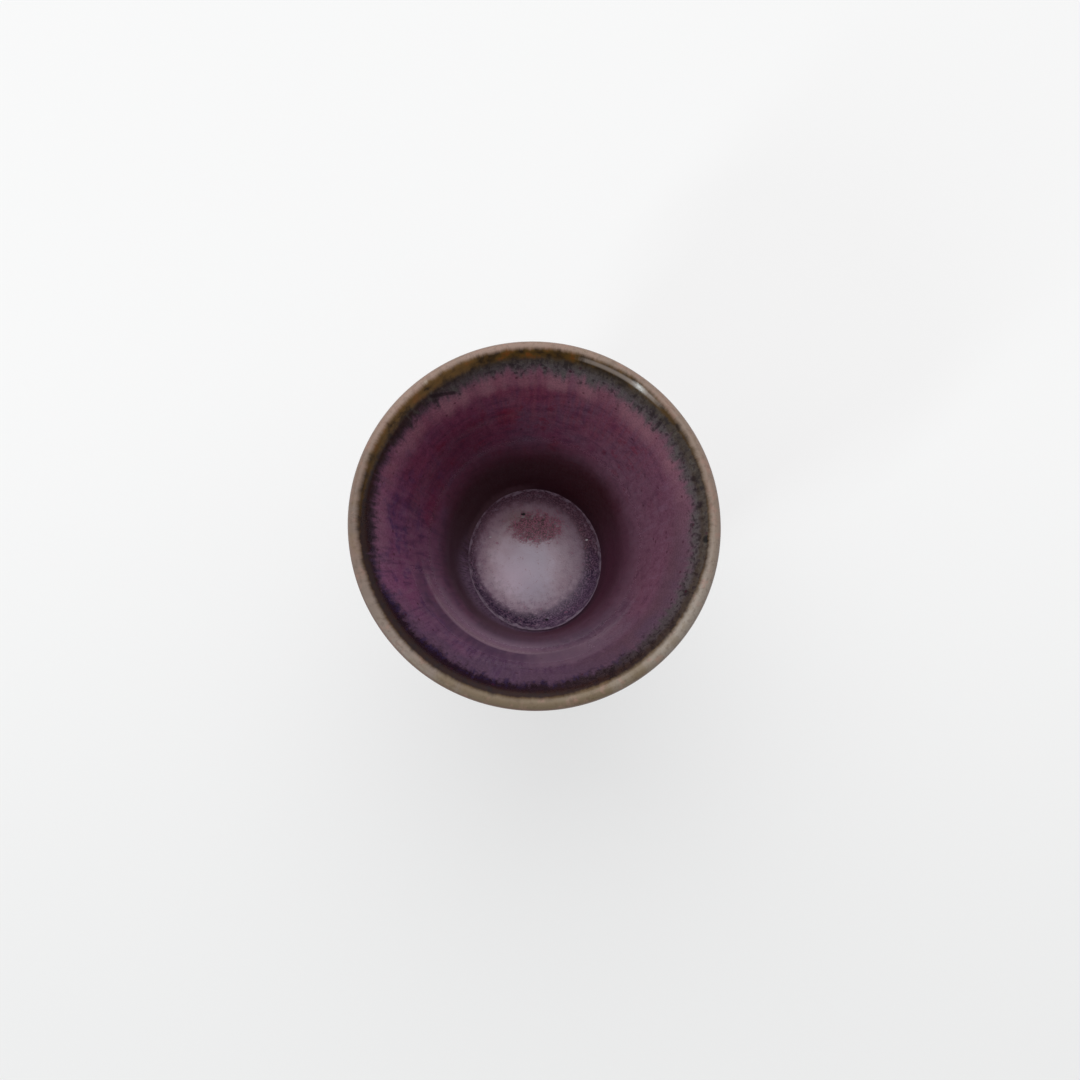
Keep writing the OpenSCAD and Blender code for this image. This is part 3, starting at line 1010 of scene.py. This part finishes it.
outer_clay = sorted((point.z, point.x) for point in outside_wall + hip_curve)
run_from = 25
hem_wander = 0.5
wanders_round = 1.6
drip_bulge = 0.25
drips = [(25, 0.9, 7), (78, 0.5, 9), (140, 1.3, 6), (205, 0.7, 10), (262, 1.7, 6), (318, 0.8, 8)]


def outer_clay_radius(height):
    """Distance from the axis to the clay's outer face, at a height."""
    below = outer_clay[0]
    for above in outer_clay:
        if above[0] >= height:
            share = (height - below[0]) / max(above[0] - below[0], 0.000001)
            return below[1] + (above[1] - below[1]) * share
        below = above
    return outer_clay[-1][1]


hem_drops = []
for step in range(turns):
    turn = 2 * math.pi * step / turns
    hem_spot = Vector((math.cos(turn) * wanders_round, math.sin(turn) * wanders_round, 5))
    drop = hem_wander * noise.noise(hem_spot)
    for degrees, length, width in drips:
        aside = (math.degrees(turn) - degrees + 180) % 360 - 180
        drop += length * math.exp(-((aside / width) ** 2))
    hem_drops.append(drop)


def run_down(place):
    """The outer coat after it ran: its lower edge follows the clay down, further at each drip."""
    height = place.z
    if height >= run_from:
        return by_hand(place)
    radius = math.hypot(place.x, place.y)
    turn = math.degrees(math.atan2(place.y, place.x)) % 360
    drop = hem_drops[round(turn / 360 * turns) % turns]
    share = eased((run_from - height) / (run_from - hip.z))
    lower = height - drop * share
    stand = (radius - outer_clay_radius(height)) * (1 + drip_bulge * max(0, drop) * share)
    grow = (outer_clay_radius(lower) + stand) / radius
    return by_hand(Vector((place.x * grow, place.y * grow, lower)))


def outside_paint(tree):
    """The glaze outside: tan lip, amber and dark band, purple streaks, and a pale lilac roll at the end."""
    place = cup_place(tree)
    height = height_of(tree, place)
    around = way_out(tree, place)
    drift = grain(tree, place, 9, 3, 0.55)
    patches = grain(tree, place, 2.8, 4, 0.6)
    runs = streaked(tree, around, height, 30, 0.12)
    streaks = grain(tree, runs, 1.1, 4, 0.6)
    wide_streaks = grain(tree, runs, 5, 3, 0.55)
    specks = grain(tree, place, 0.32, 2)
    wall = blended(tree, ramped(tree, drift, 0.4, 0.6), (92, 62, 86), (112, 58, 78))
    ring = 2 * math.pi / ring_pitch
    crest = worked(tree, "COSINE", shifted(tree, -ring * waist_height, (height, ring)))
    wall = laid_over(
        tree, wall,
        (ramped(tree, streaks, 0.46, 0.62), 0.55, (74, 38, 62)),
        (ramped(tree, patches, 0.54, 0.68), 0.5, (96, 72, 104)),
        (ramped(tree, crest, 0.3, 1), 0.25, (118, 86, 92)),
    )
    low = swayed(tree, height, (wide_streaks, 5))
    wall = blended(tree, ramped(tree, low, 30, 20), wall, (86, 58, 88))
    roll = ramped(tree, low, 17, 13, (streaks, 1.5))
    wall = laid_over(tree, wall, (roll, 0.8, (142, 118, 146)))
    stand = less(tree, height, hip.z)
    wall = blended(tree, ramped(tree, stand, -0.3, -1.8, (specks, 0.4)), wall, (96, 72, 96))
    teeth = swayed(tree, height, (streaks, 2.4), (wide_streaks, 2.2))
    wall = laid_over(tree, wall, (ramped(tree, teeth, 45, 49), 0.7, (108, 78, 94)))
    wall = blended(tree, ramped(tree, teeth, 49.5, 50.8), wall, (46, 33, 33))
    wall = blended(tree, ramped(tree, specks, 0.62, 0.4), wall, blended(tree, 0.82, (20, 6, 14), wall))
    amber = blended(tree, ramped(tree, patches, 0.42, 0.6), (60, 40, 24), (108, 66, 36))
    wall = blended(tree, ramped(tree, teeth, 52.4, 54.2), wall, amber)
    girdle = grain(tree, streaked(tree, around, height, 34, 0.5), 5, 3, 0.6)
    tan = blended(tree, ramped(tree, girdle, 0.4, 0.6), (104, 84, 72), (126, 108, 94))
    base = blended(tree, ramped(tree, height, 53.9, 54.9, (streaks, 0.4)), wall, tan)
    roughness = shifted(tree, 0.13, (specks, 0.14))
    skin = both(tree, grain(tree, place, 0.9, 2), 0.5)
    bumps = worked(tree, "ADD", skin, both(tree, streaks, 0.5))
    return base, roughness, bumps, 0.06


outer_coat = finished(turned(coat_outline(lip_last, hem_last), closed=True), "outer_coat", run_down)
outer_coat.data.materials.append(finish_of("glaze outside", outside_paint))
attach(outer_coat, "root")
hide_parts("outer_glaze")


# Table, light and camera
# A plain white table, its glow painted brighter towards the far side, under a pale sky that is brighter on
# the far side, with a broad soft light there.
# A small lamp low on the near left gives the lip its one glint.

table_size = 6
table_near_y = -0.11
table_far_y = 0.05
near_glow = 0.83
far_glow = 0.965
table_glow_share = 0.6
table_skin = bmesh.new()
bmesh.ops.create_grid(table_skin, x_segments=1, y_segments=1, size=table_size / 2)
table = finished(table_skin, "table", shaped=lambda place: place.copy())
white = bpy.data.materials.new("white table")
white.use_nodes = True
tree = white.node_tree
shader = tree.nodes["Principled BSDF"]
shader.inputs["Base Color"].default_value = (0.86, 0.86, 0.86, 1)
shader.inputs["Roughness"].default_value = 0.9
shader.inputs["Specular IOR Level"].default_value = 0.2
table_place = added(tree, "TexCoord", {}).outputs["Object"]
table_y = added(tree, "SeparateXYZ", {0: table_place}).outputs["Y"]
# Painted light: the table's glow for camera and mirror rays rises from the near side to the far side, where
# the broad light stands.
farther = ramped(tree, table_y, table_near_y, table_far_y)
lift = added(tree, "Emission", {"Strength": shifted(tree, near_glow, (farther, far_glow - near_glow))})
ray = added(tree, "LightPath", {}).outputs
mirrored = worked(tree, "MAXIMUM", ray["Is Glossy Ray"], ray["Is Transmission Ray"])
seen = both(tree, worked(tree, "MAXIMUM", ray["Is Camera Ray"], mirrored), table_glow_share)
lifted = added(tree, "MixShader", {0: seen, 1: shader.outputs["BSDF"], 2: lift.outputs["Emission"]})
tree.links.new(lifted.outputs[0], tree.nodes["Material Output"].inputs["Surface"])
table.data.materials.append(white)

sky_near_level = 0.22
sky_far_level = 1.05
sky = bpy.data.worlds.new("pale studio")
bpy.context.scene.world = sky
sky.use_nodes = True
tree = sky.node_tree
sky_way = added(tree, "TexCoord", {}).outputs["Generated"]
sky_y = added(tree, "SeparateXYZ", {0: sky_way}).outputs["Y"]
sky_level = shifted(
    tree, (sky_near_level + sky_far_level) / 2, (sky_y, (sky_far_level - sky_near_level) / 2)
)
tree.nodes["Background"].inputs["Color"].default_value = (1, 1, 1, 1)
tree.links.new(sky_level, tree.nodes["Background"].inputs["Strength"])


def lamp(name, place, width, height, watts, tint=(1, 1, 1)):
    """A soft lamp of that size that points at the cup."""
    light = bpy.data.lights.new(name, "AREA")
    light.shape = "ELLIPSE"
    light.size = width
    light.size_y = height
    light.energy = watts
    light.color = tint
    holder = bpy.data.objects.new(name, light)
    holder.location = place
    aim = Vector((0, 0, cup_height * mm))
    holder.rotation_euler = (holder.location - aim).to_track_quat("Z", "Y").to_euler()
    bpy.context.scene.collection.objects.link(holder)


lamp("softbox", place=(-0.14, 0.7, 0.84), width=1.5, height=1.5, watts=6.4)
lamp("low_lamp", place=(-0.585, -0.585, 0.56), width=0.085, height=0.42, watts=2.4, tint=(0.9, 1, 1))

picture_side = 1080
lip_middle_px = (534.1, 524.1)
lip_width_px = 374
tilt = 9
distance = 420 * mm
sensor = 36
focal_px = lip_width_px / (mouth_width * mm) * distance
camera_data = bpy.data.cameras.new("camera")
camera_data.sensor_width = sensor
camera_data.lens = focal_px / picture_side * sensor
camera = bpy.data.objects.new("camera", camera_data)
forward = Vector((0, math.sin(math.radians(tilt)), -math.cos(math.radians(tilt))))
right = Vector((1, 0, 0))
up = right.cross(forward)
lip_level = Vector((0, 0, lip_middle.z * mm))
across = (lip_middle_px[0] - picture_side / 2) / focal_px * distance
above = (picture_side / 2 - lip_middle_px[1]) / focal_px * distance
camera.location = lip_level - right * across - up * above - forward * distance
camera.rotation_euler = forward.to_track_quat("-Z", "Y").to_euler()
bpy.context.scene.collection.objects.link(camera)
bpy.context.scene.camera = camera

bpy.context.scene.view_settings.view_transform = "Standard"
